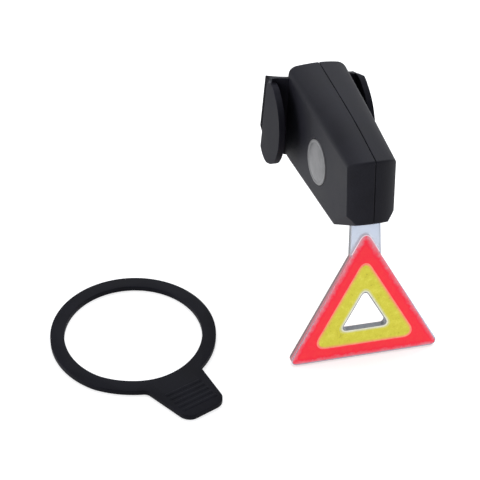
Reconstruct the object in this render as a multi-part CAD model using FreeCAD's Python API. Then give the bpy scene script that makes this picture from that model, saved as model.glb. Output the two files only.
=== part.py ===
import FreeCAD, Part
import math
import os

# Bicycle tail light, in millimetres. The origin lies on the axis of the seat post, at the
# middle height of the saddle. +Z runs up the post, -Y points the way the light shines.
os.makedirs("parts", exist_ok=True)
V = FreeCAD.Vector

# Gaps between pieces
fit = 0.05
slack = 0.15
room = 0.3

# Saddle that lies against the seat post
post_radius = 15.8
pad_thickness = 1.4
pad_half_angle = 58.0
pad_top = 12.0
pad_length = 20.0
bracket_web = 3.0
web_top = 16.6
web_bottom = -14.5

# Two dry cells, lying one above the other behind the light guide
cell_radius = 5.25
cell_length = 44.5
cell_pitch = 11.3
cell_offset = 0.8
lower_cell_z = 2.0
nub_radius = 1.9
nub_length = 0.8
contact_thickness = 0.4
contact_width = 8.0
front_contact_rise = 3.0
rear_contact_width = 7.0
contact_strip_width = 2.0
tray_wall = 0.9
tray_half_width = 4.6
tray_floor = 1.2
tray_grip = 3.0
tray_rib_setbacks = (13.0, 38.0)
tray_rib_inset = 1.0
rib_thickness = 1.0

# Housing in two halves
wall = 1.6
seam_width = 0.3
seam_depth = 0.5
edge_round = 0.7
nose_edges = 0.6
nose_room = 4.2
side_room = 0.15
rear_half_width = 10.3
front_side_top = 20.03
rear_side_top = 16.25
front_bulge = 3.8
front_lean = 10.5
roof_overhang = 3.8
roof_corner = 2.2
chin_drop = 19.3
chin_slope = 35.3
chin_length = 15.1
chin_setback = 0.45
chin_depth = 5.0
belly_slope = 8.3
belly_chamfer = 1.6
belly_chamfer_height = 3.1
chin_chamfer_height = 4.3
chin_chamfer_slope = 45.3
# Crown of the roof: distance behind the nose, height over the sides, radius of its shoulders
crown = [(-9.0, 3.1, 1.6), (-3.3, 3.5, 1.8), (11.7, 4.7, 2.4), (26.7, 5.2, 3.2), (43.7, 5.1, 3.4),
         (61.3, 5.0, 3.0)]

# Push button in the left side
button_setback = 25.34
button_height = 4.3
button_long = 8.9
button_short = 7.6
button_turn = 138.0
button_proud = 0.4
button_dome = 0.5
button_flange = 1.0
button_flange_thickness = 0.5
button_travel = 0.5
plunger_radius = 1.3
plunger_length = 0.7
switch_size = 6.0
switch_thickness = 0.6
switch_bore_depth = 0.4

# Circuit boards
board_thickness = 0.6
board_length = 30.0
board_width = 14.5
board_setback = 13.5
board_bottom = -1.6
board_stand_radius = 1.2
board_stand_inset = 1.6
chip_size = 4.0
chip_thickness = 0.9
resistor_count = 4
resistor_size = (0.8, 1.6, 0.5)
wire_radius = 0.3
wire_bend = 1.0
wire_runs = [(-0.9, 1.6), (0.7, 0.3)]
led_count = 3
led_pitch = 3.2
led_size = (2.0, 1.2, 1.7)
led_board_width = 11.8
led_board_depth = 3.7
led_board_back = 1.7
led_board_ledge = 0.9
led_gap = 0.3

# Light guide, a clear plate that hangs out of the chin and leans back
guide_side = 52.0
guide_thickness = 2.3
guide_lean = 13.5
guide_forward = 0.66
guide_corner = 1.8
guide_border = 10.4
guide_hole_corner = 1.2
stem_foot_width = 10.1
stem_width = 9.4
stem_drop = 11.7
stem_inside = 7.0
guide_pin_radius = 0.8
guide_pin_up = 3.7
guide_pin_end = 1.4
socket_front = 2.0
socket_back = 4.0
seal_up = 1.4
seal_height = 1.4
seal_width = 1.0

# Print on both faces of the guide, measured in from its sides
print_thickness = 0.1
red_inset = 0.45
red_corner = 1.35
red_tip_corner = 0.35
red_width = 4.3
yellow_corner = 2.8
yellow_width = 4.55
yellow_hole_corner = 2.2

# Hook ears of the bracket
ear_thickness = 2.1
ear_flare = 2.9
ear_root = 12.1
hook_groove = 4.5
groove_floor = 15.0
wing_tip = 7.6
wing_tip_top = 12.3
wing_tip_bottom = -8.0
wing_step = 0.6
wing_top_run = 3.2
wing_bottom_step = 1.4
web_bottom_run = 1.9
# Points round an ear: distance in front of its root and height
ear_rear_top = (0.0, 12.2)
ear_head = (4.2, 14.3)
ear_front_top = (9.45, 13.4)
ear_front = (19.3, -0.7)
ear_front_bottom = (10.65, -13.4)
ear_foot = (5.0, -15.1)
ear_rear_bottom = (0.0, -13.5)

# Rubber strap, unhooked and lying beside the light
strap_outer_radius = 27.25
strap_inner_radius = 22.7
strap_thickness = 1.8
strap_forward = 60.7
strap_left = 72.0
tab_reach = 43.3
tab_root_width = 19.8
tab_end_width = 15.2
tab_corner = 4.0
tab_neck_round = 2.5
tab_turn = -68.0
tab_rib_count = 5
tab_rib_height = 0.35
tab_rib_width = 1.0
tab_rib_pitch = 2.2

# Screws
screw_radius = 1.0
screw_clearance = 0.1
head_radius = 1.7
head_height = 1.1
boss_radius = 2.0
shell_screw_length = 11.0
bracket_screw_length = 8.0

# Large block used for cutting, depth of a section, and the run past a face that a cut takes
reach = 200.0
span = 50.0
over = 1.0

# Places that follow from the sizes above
bracket_inner_radius = post_radius + pad_thickness
bracket_outer_radius = bracket_inner_radius + bracket_web
housing_rear_radius = bracket_outer_radius + fit
tray_back = -(housing_rear_radius + wall + room)
cell_back = tray_back - tray_wall - contact_thickness - slack
cell_front = cell_back - cell_length
tray_front = cell_front - slack - contact_thickness - tray_wall
front_y = tray_front - nose_room
roof_end_radius = housing_rear_radius - roof_overhang
roof_end = -roof_end_radius
front_half_width = cell_offset + cell_radius + side_room + wall
taper = (rear_half_width - front_half_width) / (roof_end - front_y)
side_slope = (rear_side_top - front_side_top) / (roof_end - front_y)
lean_run = math.tan(math.radians(front_lean))
roof_underside = web_top + slack
chin_front_y = front_y - chin_drop * lean_run - chin_setback
chin_front_z = front_side_top - chin_drop
chin_run = math.tan(math.radians(chin_slope))
chin_base_y = chin_front_y + chin_length
chin_base_z = chin_front_z - chin_length * chin_run
upper_cell_z = lower_cell_z + cell_pitch
board_inner = cell_offset - cell_radius - slack - fit
board_outer = board_inner - board_thickness
guide_entry_y = front_y - guide_forward
guide_entry_z = chin_front_z - (guide_entry_y - chin_front_y) * chin_run
guide_height = guide_side * math.sqrt(3) / 2
guide_foot = -stem_drop + stem_foot_width / 2 * math.sqrt(3) - guide_height
guide_centre = guide_foot + guide_height / 3
ear_outer = rear_half_width + hook_groove + ear_thickness
board_front = front_y + board_setback
board_back = board_front + board_length
led_board_up = stem_inside + led_gap + led_size[2]
tray_bottom = lower_cell_z - cell_radius - slack - tray_floor
tray_top = upper_cell_z - tray_grip
button_y = front_y + button_setback


def half_width(y):
    """Half the width of the housing at a distance along it."""
    return front_half_width + taper * (y - front_y)


def side_top(y):
    """Height of the top edge of the housing's sides."""
    return front_side_top + side_slope * (y - front_y)


def save(name, shape):
    shape.exportStep("parts/" + name + ".step")


def box(x, y, z):
    """Block between two values along each axis."""
    block = Part.makeBox(x[1] - x[0], y[1] - y[0], z[1] - z[0])
    block.translate(V(x[0], y[0], z[0]))
    return block


def rod(radius, start, direction, length):
    return Part.makeCylinder(radius, length, start, direction)


def cut_beyond(shape, point, normal):
    """Take away what lies on the outer side of a plane."""
    block = Part.makeBox(2 * reach, 2 * reach, reach)
    block.translate(V(-reach, -reach, 0))
    turn = FreeCAD.Rotation(V(0, 0, 1), normal)
    block.Placement = FreeCAD.Placement(point, turn).multiply(block.Placement)
    return shape.cut(block)


def rounded_face(corners, radii):
    """Flat face in the XY plane with straight sides and an arc at each rounded corner."""
    edges = []
    first = None
    last = None
    count = len(corners)
    for index in range(count):
        corner = V(corners[index][0], corners[index][1], 0)
        before = V(corners[index - 1][0], corners[index - 1][1], 0) - corner
        after = V(corners[(index + 1) % count][0], corners[(index + 1) % count][1], 0) - corner
        before.normalize()
        after.normalize()
        radius = radii[index]
        start = corner
        end = corner
        arc = None
        if radius > 0:
            half_angle = before.getAngle(after) / 2
            start = corner + before * (radius / math.tan(half_angle))
            end = corner + after * (radius / math.tan(half_angle))
            inward = before + after
            inward.normalize()
            middle = corner + inward * (radius / math.sin(half_angle) - radius)
            arc = Part.Arc(start, middle, end).toShape()
        if last is None:
            first = start
        else:
            edges.append(Part.LineSegment(last, start).toShape())
        if arc is not None:
            edges.append(arc)
        last = end
    edges.append(Part.LineSegment(last, first).toShape())
    return Part.Face(Part.Wire(edges))


# Turns a face drawn as (y, z) to stand upright along the light, facing +X
side_view = FreeCAD.Placement(V(0, 0, 0), FreeCAD.Rotation(V(0, 1, 0), V(0, 0, 1), V(1, 0, 0), "ZXY"))
# The button's own frame: x to the rear, y up, z into the housing
button_frame = FreeCAD.Placement(
    V(-half_width(button_y), button_y, button_height),
    FreeCAD.Rotation(V(-taper, 1, 0), V(0, 0, 1), V(1, taper, 0), "ZXY"))
# The guide's own frame: x across, y through the plate to the rear, z up the plate
guide_frame = FreeCAD.Placement(
    V(0, guide_entry_y, guide_entry_z), FreeCAD.Rotation(V(1, 0, 0), -guide_lean))
floor_z = guide_frame.multVec(V(0, guide_thickness, guide_foot)).z
# Turns a face drawn as (x, z) to stand upright, facing forward
front_view = FreeCAD.Placement(V(0, 0, 0), FreeCAD.Rotation(V(1, 0, 0), 90))


def placed(shape, frame):
    """Copy of a shape, moved from a frame of its own to the light's frame."""
    copy = shape.copy()
    copy.Placement = frame.multiply(copy.Placement)
    return copy


def guide_box(x, y, z):
    return placed(box(x, y, z), guide_frame)


# Housing


def crown_section(y, height, shoulder, inset):
    """Section across the housing: upright sides, round shoulders and a shallow arched roof."""
    half = half_width(y) - inset
    base = side_top(y) - inset
    low = -span
    shoulder_x = half - shoulder
    rise = height - shoulder
    arch_z = (rise ** 2 - shoulder_x ** 2) / (2 * rise)
    arch_radius = height - arch_z
    meet = math.atan2(-arch_z, shoulder_x)
    edges = [Part.LineSegment(V(half, y, low), V(half, y, base)).toShape()]
    joint_x = shoulder_x + shoulder * math.cos(meet)
    joint_z = base + shoulder * math.sin(meet)
    middle_x = shoulder_x + shoulder * math.cos(meet / 2)
    middle_z = base + shoulder * math.sin(meet / 2)
    crest = V(0, y, base + arch_z + arch_radius)
    edges.append(Part.Arc(V(half, y, base), V(middle_x, y, middle_z), V(joint_x, y, joint_z)).toShape())
    edges.append(Part.Arc(V(joint_x, y, joint_z), crest, V(-joint_x, y, joint_z)).toShape())
    edges.append(Part.Arc(V(-joint_x, y, joint_z), V(-middle_x, y, middle_z), V(-half, y, base)).toShape())
    edges.append(Part.LineSegment(V(-half, y, base), V(-half, y, low)).toShape())
    edges.append(Part.LineSegment(V(-half, y, low), V(half, y, low)).toShape())
    return Part.Wire(edges)


def nose_prism(inset):
    """Everything behind the rounded nose, which leans back as it rises."""
    radius = (front_half_width ** 2 + front_bulge ** 2) / (2 * front_bulge)
    centre_y = front_y - front_bulge + radius
    radius = radius - inset
    low = -span
    start_y = centre_y + (low - front_side_top) * lean_run
    arc = Part.Arc(V(-radius, start_y, low), V(0, start_y - radius, low), V(radius, start_y, low))
    corners = [V(radius, start_y, low), V(reach, start_y, low), V(reach, reach, low),
               V(-reach, reach, low), V(-reach, start_y, low), V(-radius, start_y, low)]
    face = Part.Face(Part.Wire([arc.toShape()] + Part.makePolygon(corners).Edges))
    return face.extrude(V(0, reach / 2 * lean_run, reach / 2))


def roof_plan():
    """Everything in front of the roof's rear edge, which curves round the post."""
    front = half_width(-reach / 2) + fit
    rear = half_width(0) + fit
    corners = [V(-front, -reach / 2, -span), V(front, -reach / 2, -span),
               V(rear, 0, -span), V(-rear, 0, -span)]
    plan = Part.Face(Part.makePolygon(corners + corners[:1])).extrude(V(0, 0, 2 * span))
    plan = plan.cut(rod(roof_end_radius, V(0, 0, -span - over), V(0, 0, 1), 2 * (span + over)))
    horns = []
    for edge in plan.Edges:
        middle = edge.CenterOfMass
        if edge.BoundBox.ZLength > span and abs(math.hypot(middle.x, middle.y) - roof_end_radius) < fit:
            horns.append(edge)
    return plan.makeFillet(roof_corner, horns)


def housing_solid(inset):
    """Outer form of the housing, drawn in by a distance on every side."""
    sections = []
    for setback, height, shoulder in crown:
        sections.append(crown_section(front_y + setback, height, shoulder, inset))
    solid = Part.makeLoft(sections, True, False)
    solid = solid.common(nose_prism(inset))
    chin_normal = V(0, -math.sin(math.radians(chin_slope)), -math.cos(math.radians(chin_slope)))
    chin_point = V(0, chin_front_y, chin_front_z)
    solid = cut_beyond(solid, chin_point - chin_normal * inset, chin_normal)
    belly_run = math.tan(math.radians(belly_slope))
    belly_normal = V(0, -math.sin(math.radians(belly_slope)), -math.cos(math.radians(belly_slope)))
    belly_point = V(0, chin_base_y, chin_base_z)
    solid = cut_beyond(solid, belly_point - belly_normal * inset, belly_normal)
    for side in (-1, 1):
        # Long chamfers along the belly and the chin
        chin_half = half_width(chin_base_y)
        along = V(side * taper, 1, -belly_run)
        down = V(-side * belly_chamfer, 0, -belly_chamfer_height)
        point = V(side * chin_half, chin_base_y, chin_base_z + belly_chamfer_height)
        solid = chamfered(solid, point, along, down, side, inset)
        along = V(side * taper, 1, -math.tan(math.radians(chin_chamfer_slope)))
        point = V(side * half_width(chin_front_y), chin_front_y, chin_front_z + chin_chamfer_height)
        solid = chamfered(solid, point, along, down, side, inset)
    if inset > 0:
        solid = solid.cut(rod(housing_rear_radius + inset, V(0, 0, -reach / 2), V(0, 0, 1), reach))
    else:
        saddle = rod(housing_rear_radius, V(0, 0, -reach / 2), V(0, 0, 1), reach / 2 + roof_underside)
        solid = solid.cut(saddle)
        solid = solid.common(roof_plan())
        nose = [edge for edge in solid.Edges if edge.CenterOfMass.y < front_y + nose_edges]
        solid = solid.makeFillet(edge_round, nose)
    right = solid.common(box((0, reach), (-reach, reach), (-reach, reach)))
    return right.fuse(right.mirror(V(0, 0, 0), V(1, 0, 0)))


def chamfered(solid, point, along, down, side, inset):
    """Cut a slanting plane that holds two directions, drawn in by a distance."""
    normal = along.cross(down)
    normal.normalize()
    if normal.x * side < 0:
        normal = normal * -1
    return cut_beyond(solid, point - normal * inset, normal)


def oval(long_radius, short_radius, near, far):
    """Oval block in the button's frame, between two depths."""
    edge = Part.Ellipse(V(0, 0, 0), long_radius, short_radius).toShape()
    face = Part.Face(Part.Wire([edge]))
    face.rotate(V(0, 0, 0), V(0, 0, 1), button_turn)
    face.translate(V(0, 0, near))
    return face.extrude(V(0, 0, far - near))


def cell_bays(clearance):
    """Room for both cells, running past their ends."""
    bays = []
    for height in (lower_cell_z, upper_cell_z):
        start = V(cell_offset, tray_front - over, height)
        length = tray_back - tray_front + 2 * over
        bays.append(rod(cell_radius + clearance, start, V(0, 1, 0), length))
    return bays[0].fuse(bays[1])


# Screws that close the housing, driven in from the right, as (y, z)
nose_screw_setback = 2.4
belly_screw_setback = 16.0
shell_screw_places = [
    (front_y + nose_screw_setback, 15.5),
    (front_y + belly_screw_setback, tray_bottom - room - boss_radius),
    (-29.0, -9.5),
]
# Screws that hold the bracket to the housing, driven in from the post side, as (x, z, seat)
bracket_screw_places = [(-8.1, 13.9, 17.0), (8.1, 13.9, 17.0), (-5.0, -11.3, 17.4), (5.0, -11.3, 17.4)]
bracket_boss_radius = 1.7


def shell_screw_seat(y):
    return half_width(y) - head_height - slack


def housing_inside():
    """Everything moulded inside the two halves, before the holes are cut."""
    block = guide_box((-reach, reach), (-socket_front, socket_back), (-reach, stem_inside - slack))
    block = block.common(box((-reach, reach), (-reach, tray_front - room), (-reach, reach)))
    solids = [block]
    for side in (-1, 1):
        near = side * (led_board_width / 2 - led_board_ledge)
        far = side * reach
        across = (min(near, far), max(near, far))
        tower_top = led_board_up - fit
        solids.append(guide_box(across, (-led_board_back, led_board_depth - led_board_back),
                                (stem_inside - over, tower_top)))
    for y, z in shell_screw_places:
        solids.append(rod(boss_radius, V(-reach / 2, y, z), V(1, 0, 0), reach))
    for x, z, seat in bracket_screw_places:
        boss_end = seat + bracket_screw_length + wall
        solids.append(rod(bracket_boss_radius, V(x, -boss_end, z), V(0, 1, 0), boss_end))
    for y in (board_front + board_stand_inset, board_back - board_stand_inset):
        for z in (board_bottom + board_stand_inset, board_bottom + board_width - board_stand_inset):
            solids.append(rod(board_stand_radius, V(board_outer - fit, y, z), V(-1, 0, 0), reach))
    ribs = []
    for setback in tray_rib_setbacks:
        y = front_y + setback
        ribs.append(box((cell_offset + tray_half_width + fit, reach), (y, y + rib_thickness),
                        (tray_bottom + tray_rib_inset, tray_top - tray_rib_inset)))
    ribs = Part.Compound(ribs).cut(cell_bays(slack))
    solids.append(ribs)
    inside = solids[0].fuse(solids[1:])
    return inside.common(core)


def housing_halves():
    """Left and right halves of the housing, with all their holes."""
    both = outer.cut(cavity).fuse(housing_inside())
    both = both.cut(stem_space(room, -chin_depth, seal_up))
    both = both.cut(stem_space(slack, 0, stem_inside + over))
    both = both.cut(seal_solid(fit))
    both = both.cut(guide_pin_solid(fit))
    for y, z in shell_screw_places:
        seat = shell_screw_seat(y)
        both = both.cut(rod(head_radius + slack, V(seat, y, z), V(1, 0, 0), reach))
        both = both.cut(rod(screw_radius + screw_clearance, V(0, y, z), V(1, 0, 0), reach))
        tip = seat - shell_screw_length
        both = both.cut(rod(screw_radius + fit, V(tip - slack, y, z), V(1, 0, 0), slack - tip))
    for x, z, seat in bracket_screw_places:
        depth = seat + bracket_screw_length + slack
        both = both.cut(rod(screw_radius + fit, V(x, -depth, z), V(0, 1, 0), depth))
    hole = oval(button_long + slack, button_short + slack, -span, wall + over)
    hole = hole.fuse(oval(button_long + button_flange + room, button_short + button_flange + room,
                          wall, wall + button_flange_thickness + button_travel + room))
    both = both.cut(placed(hole, button_frame))
    left = both.common(box((-reach, -seam_width / 2), (-reach, reach), (-reach, reach)))
    right = both.common(box((seam_width / 2, reach), (-reach, reach), (-reach, reach)))
    return left, right


def seam_gasket():
    """Thin strip that fills the joint between the halves, set back a little."""
    strip = housing_solid(seam_depth).cut(cavity)
    strip = strip.common(box((-seam_width / 2, seam_width / 2), (-reach, reach), (-reach, reach)))
    strip = strip.cut(guide_box((-over, over), (-socket_front, socket_back), (-span, stem_inside)))
    return strip


# Light guide and what holds it


def guide_triangle(inset):
    """Corners of the guide's triangle, drawn in from its sides: left, right and top."""
    distance = (guide_height / 3 - inset) * 2
    corners = []
    for angle in (210, 330, 90):
        turn = math.radians(angle)
        corners.append((distance * math.cos(turn), guide_centre + distance * math.sin(turn)))
    return corners


def guide_slice(face, near, far):
    """Flat face of the guide's front, given a thickness and put in its place."""
    solid = placed(face, front_view).extrude(V(0, far - near, 0))
    solid.translate(V(0, near, 0))
    return placed(solid, guide_frame)


def stem_space(clearance, low, high):
    half = stem_width / 2 + clearance
    if low < 0:
        half = stem_foot_width / 2 + clearance
    return guide_box((-half, half), (-clearance, guide_thickness + clearance), (low, high))


def light_guide():
    left, right, top = guide_triangle(0)
    foot = stem_foot_width / 2
    half = stem_width / 2
    corners = [left, right, (foot, -stem_drop), (half, 0), (half, stem_inside),
               (-half, stem_inside), (-half, 0), (-foot, -stem_drop)]
    radii = [guide_corner, guide_corner, 0, 0, 0, 0, 0, 0]
    plate = rounded_face(corners, radii)
    hole = rounded_face(guide_triangle(guide_border), [guide_hole_corner] * 3)
    solid = guide_slice(plate.cut(hole), 0, guide_thickness)
    return solid.cut(guide_pin_solid(fit))


def prints(near, far):
    """Red and yellow triangle on one face of the guide."""
    yellow_inset = red_inset + red_width
    clear_inset = yellow_inset + yellow_width
    red = rounded_face(guide_triangle(red_inset), [red_corner, red_corner, red_tip_corner])
    yellow = rounded_face(guide_triangle(yellow_inset), [yellow_corner] * 3)
    clear = rounded_face(guide_triangle(clear_inset), [yellow_hole_corner] * 3)
    return guide_slice(red.cut(yellow), near, far), guide_slice(yellow.cut(clear), near, far)


def guide_pin_solid(clearance):
    """Pin through the stem and the socket, along the seam."""
    ends = clearance
    pin = rod(guide_pin_radius + clearance, V(0, -guide_pin_end - ends, guide_pin_up), V(0, 1, 0),
              guide_thickness + 2 * guide_pin_end + 2 * ends)
    return placed(pin, guide_frame)


def seal_solid(clearance):
    """Soft ring round the stem, in its recess just inside the chin."""
    half = stem_width / 2 + seal_width + clearance
    return guide_box((-half, half), (-seal_width - clearance, guide_thickness + seal_width + clearance),
                     (seal_up - clearance, seal_up + seal_height + clearance))


# Button, switch and boards


def button_cap():
    """Oval cap with a slightly domed face and a flange behind the wall."""
    cap = oval(button_long, button_short, -button_proud - over, wall + fit)
    radius = (button_long ** 2 + button_dome ** 2) / (2 * button_dome)
    cap = cap.common(Part.makeSphere(radius, V(0, 0, radius - button_proud)))
    flange = oval(button_long + button_flange, button_short + button_flange,
                  wall + fit, wall + fit + button_flange_thickness)
    return placed(cap.fuse(flange), button_frame)


def switch_plunger():
    start = V(0, 0, wall + fit + button_flange_thickness)
    return placed(rod(plunger_radius, start, V(0, 0, 1), plunger_length), button_frame)


def switch_body():
    half = switch_size / 2
    body = box((board_outer - switch_thickness, board_outer), (button_y - half, button_y + half),
               (button_height - half, button_height + half))
    bore = rod(plunger_radius + room, V(board_outer - switch_thickness - over, button_y, button_height),
               V(1, 0, 0), switch_bore_depth + over)
    return body.cut(bore)


def main_board():
    return box((board_outer, board_inner), (board_front, board_back),
               (board_bottom, board_bottom + board_width))


def controller_chip():
    y = board_back - board_stand_inset - chip_size
    return box((board_outer - chip_thickness, board_outer), (y - chip_size, y),
               (button_height, button_height + chip_size))


def chip_resistors():
    solids = []
    wide, tall, thick = resistor_size
    for index in range(resistor_count):
        y = board_front + board_stand_inset + index * 2 * wide
        z = board_bottom + board_width / 2
        solids.append(box((board_outer - thick, board_outer), (y, y + wide), (z, z + tall)))
    return Part.Compound(solids)


def led_board():
    return guide_box((-led_board_width / 2, led_board_width / 2),
                     (-led_board_back, led_board_depth - led_board_back),
                     (led_board_up, led_board_up + board_thickness))


def leds():
    wide, deep, high = led_size
    solids = []
    for index in range(led_count):
        x = (index - (led_count - 1) / 2) * led_pitch
        y = guide_thickness / 2
        solids.append(guide_box((x - wide / 2, x + wide / 2), (y - deep / 2, y + deep / 2),
                                (stem_inside + led_gap, stem_inside + led_gap + high)))
    return Part.Compound(solids)


def lead_wire(depth, rise):
    """Wire that rises from the LED board, bends back and meets the main board's edge."""
    x = (board_inner + board_outer) / 2
    foot = guide_frame.multVec(V(x, depth, led_board_up + board_thickness + slack))
    bend_y = foot.y + wire_bend
    bend_z = foot.z + rise
    upright = rod(wire_radius, foot, V(0, 0, 1), rise)
    circle = Part.Circle(V(x, foot.y, bend_z), V(0, 0, 1), wire_radius)
    disc = Part.Face(Part.Wire([circle.toShape()]))
    elbow = disc.revolve(V(x, bend_y, bend_z), V(-1, 0, 0), 90)
    run = rod(wire_radius, V(x, bend_y, bend_z + wire_bend), V(0, 1, 0), board_front - bend_y)
    return upright.fuse([elbow, run])


# Cells, tray and contacts


def cell(z, nub_end):
    """Dry cell with its nub at the front (-1) or at the rear (1)."""
    if nub_end < 0:
        body = rod(cell_radius, V(cell_offset, cell_front + nub_length, z), V(0, 1, 0),
                   cell_length - nub_length)
        nub = rod(nub_radius, V(cell_offset, cell_front, z), V(0, 1, 0), nub_length)
    else:
        body = rod(cell_radius, V(cell_offset, cell_front, z), V(0, 1, 0), cell_length - nub_length)
        nub = rod(nub_radius, V(cell_offset, cell_back - nub_length, z), V(0, 1, 0), nub_length)
    return body.fuse(nub)


def front_contact(clearance):
    """Plate that bridges the front ends of both cells."""
    half = contact_width / 2 + clearance
    rise = front_contact_rise + clearance
    near = cell_front - fit - contact_thickness - clearance
    return box((cell_offset - half, cell_offset + half), (near, cell_front - fit + clearance),
               (lower_cell_z - rise, upper_cell_z + rise))


def rear_contact(z, clearance):
    """Plate behind one cell, with a strip along the left side to the main board."""
    half = rear_contact_width / 2 + clearance
    strip_x = (board_inner + board_outer) / 2
    strip_near = strip_x - contact_thickness / 2 - clearance
    strip_far = strip_x + contact_thickness / 2 + clearance
    strip_half = contact_strip_width / 2 + clearance
    near = cell_back + fit - clearance
    far = cell_back + fit + contact_thickness + clearance
    plate = box((strip_near, cell_offset + half), (near, far), (z - half, z + half))
    strip = box((strip_near, strip_far), (board_back, far), (z - strip_half, z + strip_half))
    return plate.fuse(strip)


def battery_tray():
    """Cradle with a bay for each cell, a wall at each end and slots for the contacts."""
    x = (cell_offset - tray_half_width, cell_offset + tray_half_width)
    tray = box(x, (tray_front, tray_back), (tray_bottom, tray_top))
    bays = cell_bays(slack)
    inner = box((-reach, reach), (tray_front + tray_wall, tray_back - tray_wall), (-reach, reach))
    tray = tray.cut(bays.common(inner))
    tray = tray.cut(front_contact(fit))
    for z in (lower_cell_z, upper_cell_z):
        tray = tray.cut(rear_contact(z, fit))
    return tray.common(housing_solid(wall + room))


# Saddle, bracket and ears


def ear_slab(near, far):
    """Slanting slab on the right side, which flares outwards as it goes down."""
    flare = math.tan(math.radians(ear_flare))
    run = flare * span
    corners = [V(near - run, -reach / 2, span), V(far - run, -reach / 2, span),
               V(far + run, -reach / 2, -span), V(near + run, -reach / 2, -span)]
    face = Part.Face(Part.makePolygon(corners + corners[:1]))
    return face.extrude(V(0, reach, 0))


def ear_outline():
    """Half-round ear seen from the side: a straight rear edge and a bulging front."""
    points = []
    for ahead, height in (ear_rear_top, ear_rear_bottom, ear_foot, ear_front_bottom, ear_front,
                          ear_front_top, ear_head):
        points.append(V(-ear_root - ahead, height, 0))
    rear = Part.LineSegment(points[0], points[1]).toShape()
    foot = Part.Arc(points[1], points[2], points[3]).toShape()
    front = Part.Arc(points[3], points[4], points[5]).toShape()
    head = Part.Arc(points[5], points[6], points[0]).toShape()
    return Part.Face(Part.Wire([rear, foot, front, head]))


def mount_bracket():
    """Curved web behind the housing, with a wing and a hook ear on each side."""
    profile = [(-reach, web_top), (-housing_rear_radius + wing_top_run, web_top), (-wing_tip, wing_tip_top),
               (-wing_tip, wing_tip_bottom), (-ear_root, wing_tip_bottom - wing_bottom_step),
               (-ear_root - web_bottom_run, web_bottom), (-reach, web_bottom)]
    face = rounded_face(profile, [0] * len(profile))
    side = placed(face, side_view).extrude(V(reach, 0, 0))
    side.translate(V(-reach / 2, 0, 0))
    web = rod(bracket_outer_radius, V(0, 0, web_bottom - over), V(0, 0, 1), web_top - web_bottom + 2 * over)
    wings = box((-reach, reach), (-groove_floor, -wing_tip), (web_bottom - over, web_top + over))
    body = web.fuse(wings)
    body = body.cut(rod(bracket_inner_radius, V(0, 0, -reach / 2), V(0, 0, 1), reach))
    body = body.common(side)
    body = body.common(box((-reach, reach), (-reach, -wing_tip), (-reach, reach)))
    mask = ear_slab(-span, ear_outer - wing_step)
    mask = mask.common(mask.mirror(V(0, 0, 0), V(1, 0, 0)))
    body = body.common(mask)
    ear = placed(ear_outline(), side_view).extrude(V(reach, 0, 0))
    ear = ear.common(ear_slab(ear_outer - ear_thickness, ear_outer))
    body = body.fuse([ear, ear.mirror(V(0, 0, 0), V(1, 0, 0))])
    for x, z, seat in bracket_screw_places:
        body = body.cut(rod(screw_radius + screw_clearance, V(x, -reach / 2, z), V(0, 1, 0), reach / 2))
        body = body.cut(rod(head_radius + slack, V(x, -seat, z), V(0, 1, 0), seat))
    return body


def saddle_pad():
    """Curved rubber pad between the bracket and the post."""
    pad = rod(bracket_inner_radius - fit, V(0, 0, pad_top - pad_length), V(0, 0, 1), pad_length)
    pad = pad.cut(rod(post_radius, V(0, 0, -reach / 2), V(0, 0, 1), reach))
    turn = math.radians(pad_half_angle)
    for side in (-1, 1):
        pad = cut_beyond(pad, V(0, 0, 0), V(side * math.cos(turn), math.sin(turn), 0))
    return pad


def screw(start, direction, length):
    """Pan-head screw; the start is its seat and the direction its way in."""
    head = rod(head_radius, start, direction * -1, head_height)
    return head.fuse(rod(screw_radius, start, direction, length))


def strap():
    """Rubber ring with a ribbed pull tab, lying flat beside the light."""
    ring = rod(strap_outer_radius, V(0, 0, 0), V(0, 0, 1), strap_thickness)
    root = tab_root_width / 2
    end = tab_end_width / 2
    middle_half = root + (root - end) / (tab_reach - strap_outer_radius) * strap_outer_radius
    corners = [(0, -middle_half), (tab_reach, -end), (tab_reach, end), (0, middle_half)]
    tab = rounded_face(corners, [0, tab_corner, tab_corner, 0]).extrude(V(0, 0, strap_thickness))
    body = ring.fuse(tab).removeSplitter()
    necks = []
    for edge in body.Edges:
        middle = edge.CenterOfMass
        upright = edge.BoundBox.ZLength > strap_thickness / 2
        from_centre = math.hypot(middle.x, middle.y)
        if upright and middle.x > 0 and abs(from_centre - strap_outer_radius) < fit:
            necks.append(edge)
    body = body.makeFillet(tab_neck_round, necks)
    body = body.cut(rod(strap_inner_radius, V(0, 0, -over), V(0, 0, 1), strap_thickness + 2 * over))
    ribs = []
    for index in range(tab_rib_count):
        x = tab_reach - tab_corner - index * tab_rib_pitch
        half = end - over
        ribs.append(box((x - tab_rib_width / 2, x + tab_rib_width / 2), (-half, half),
                        (strap_thickness / 2, strap_thickness + tab_rib_height)))
    body = body.fuse(ribs).removeSplitter()
    body.rotate(V(0, 0, 0), V(0, 0, 1), tab_turn)
    body.translate(V(-strap_left, -strap_forward, floor_z))
    return body


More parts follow.
